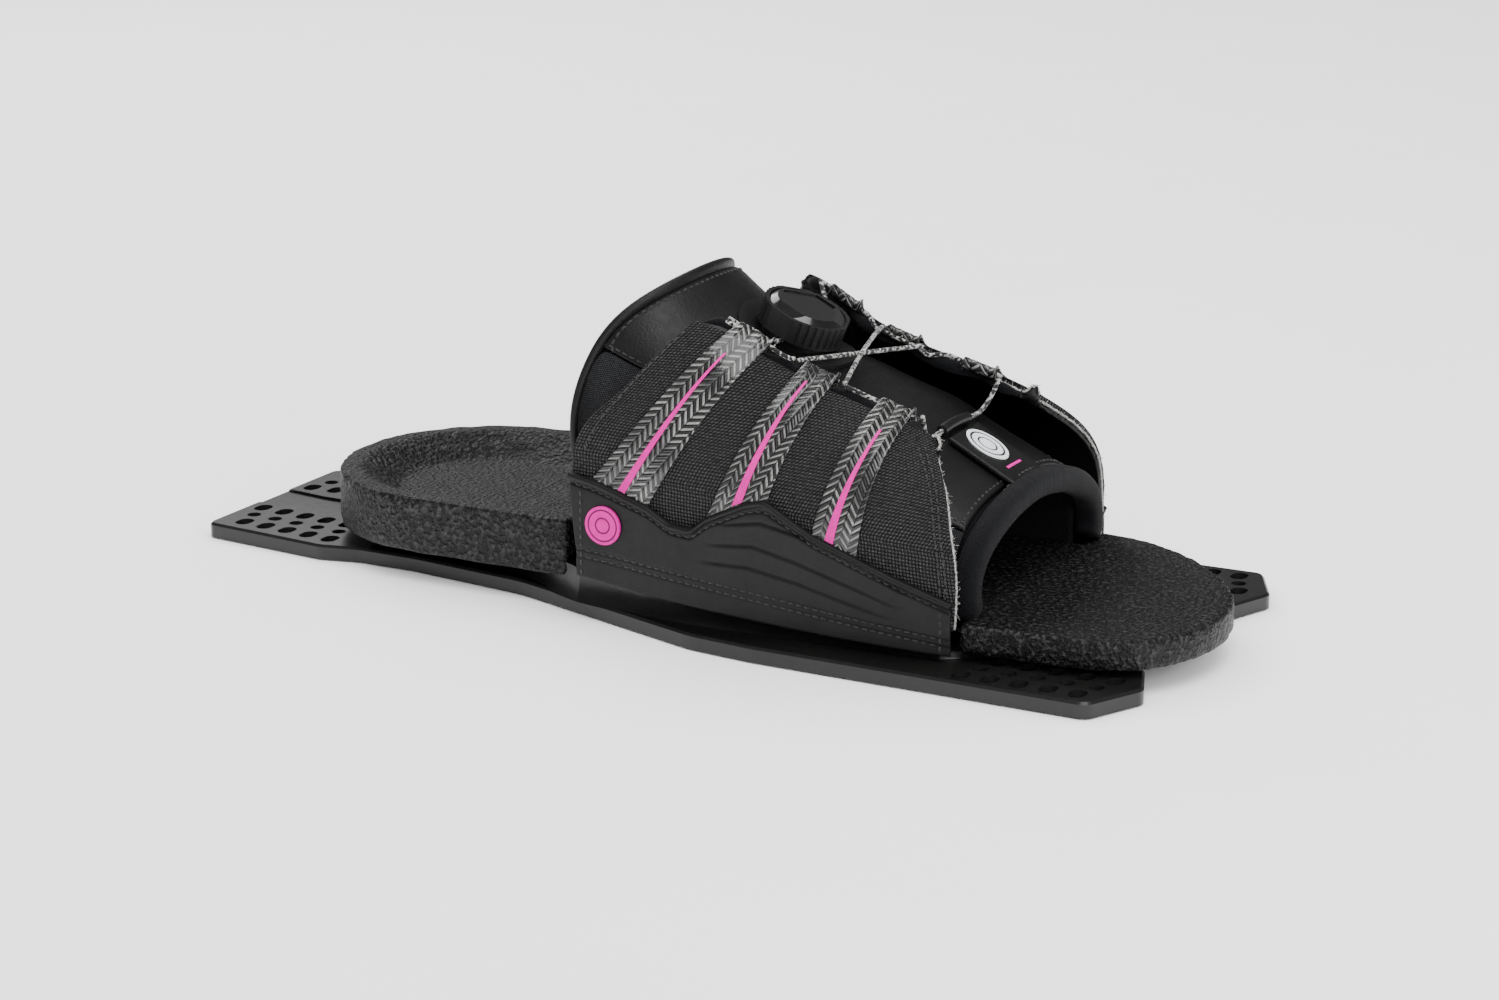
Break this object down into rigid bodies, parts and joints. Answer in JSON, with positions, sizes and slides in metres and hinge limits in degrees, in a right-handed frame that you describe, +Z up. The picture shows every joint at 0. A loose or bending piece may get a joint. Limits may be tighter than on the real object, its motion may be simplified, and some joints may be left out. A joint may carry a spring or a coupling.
{
  "type": "water ski rear toe binding",
  "caption": "Open-heeled slip-in binding on a slotted mounting plate: foam footbed, arched tongue, and two side panels drawn together by a lace on a ratchet dial.",
  "frame": {"origin": "centre of the mounting plate's flat underside", "axes": "+X towards the toe, +Y to the wearer's left, +Z up"},
  "size_m": [0.3204, 0.1328, 0.0935],
  "materials": {
    "plate_plastic": "satin moulded black",
    "brass": "bright",
    "steel": "plain",
    "board": "matt",
    "foam": "pebbled EVA foam",
    "rand_rubber": "matt smooth",
    "mesh": "fine woven",
    "canvas": "coarse woven",
    "carbon_tape": "braided silver-grey under clear film",
    "pink": "matt printed",
    "leather": "smooth synthetic",
    "neoprene": "soft knitted-face neoprene",
    "dial_hard": "dark gloss",
    "dial_body": "matt",
    "dial_rubber": "matt ribbed",
    "lace": "speckled black and white braid",
    "silver": "silver print"
  },
  "bodies": {
    "root": {"base_plate": "plate_plastic", "threaded_inserts": "brass", "clamp_screws": "steel", "lasting_board": "board", "left_clamp_bar": "steel", "right_clamp_bar": "steel", "footbed": "foam", "left_hem": "rand_rubber", "right_hem": "rand_rubber", "tongue_shell": "leather", "right_gusset": "mesh", "left_gusset": "mesh", "tongue_liner": "neoprene", "throat_binding": "leather", "toe_collar": "neoprene", "dial_base": "dial_body", "dial_housing": "dial_body", "dial_screw": "steel", "detent_spring": "steel", "toe_tab": "leather", "tab_emblem": "silver", "toe_lace_guide": "dial_body", "rear_lace_cross": "lace", "front_lace_cross": "lace", "toe_lace_span": "lace", "dial_lace_leads": "lace"},
    "right_side": {"right_panel": "canvas", "right_panel_lining": "neoprene", "right_rand": "rand_rubber", "right_badge": "pink", "right_rear_strip": "carbon_tape", "right_middle_strip": "carbon_tape", "right_front_strip": "carbon_tape", "right_stripes": "pink", "right_lace_run": "lace"},
    "left_side": {"left_panel": "canvas", "left_panel_lining": "neoprene", "left_rand": "rand_rubber", "left_badge": "pink", "left_rear_strip": "carbon_tape", "left_middle_strip": "carbon_tape", "left_front_strip": "carbon_tape", "left_stripes": "pink", "left_lace_run": "lace"},
    "dial_drive": {"drive_ring": "dial_body"},
    "dial_knob": {"dial_knob": "dial_body", "dial_grip": "dial_rubber", "dial_cap": "dial_hard"},
    "spool": {"lace_spool": "dial_body", "lace_coil": "lace"}
  },
  "joints": [
    {"name": "right_side_open", "type": "hinge", "parent": "root", "child": "right_side", "pos_m": [0.0445, -0.0554, 0.0165], "axis": [0.9982, 0, -0.0601], "range_deg": [0, 12]},
    {"name": "left_side_open", "type": "hinge", "parent": "root", "child": "left_side", "pos_m": [0.0445, 0.0554, 0.0165], "axis": [-0.9982, 0, 0.0601], "range_deg": [0, 12]},
    {"name": "dial_turn", "type": "hinge", "parent": "root", "child": "dial_drive", "pos_m": [0.0275, 0, 0.0736], "axis": [0.3746, 0, 0.9272], "continuous": true},
    {"name": "dial_lift", "type": "slide", "parent": "dial_drive", "child": "dial_knob", "axis": [0.3746, 0, 0.9272], "range_m": [0, 0.003]},
    {"name": "spool_turn", "type": "hinge", "parent": "root", "child": "spool", "pos_m": [0.0275, 0, 0.0736], "axis": [0.3746, 0, 0.9272], "continuous": true}
  ],
  "couplings": [
    {"joint": "left_side_open", "follows": "right_side_open", "ratio": 1},
    {"joint": "spool_turn", "follows": "dial_turn", "ratio": 1}
  ]
}
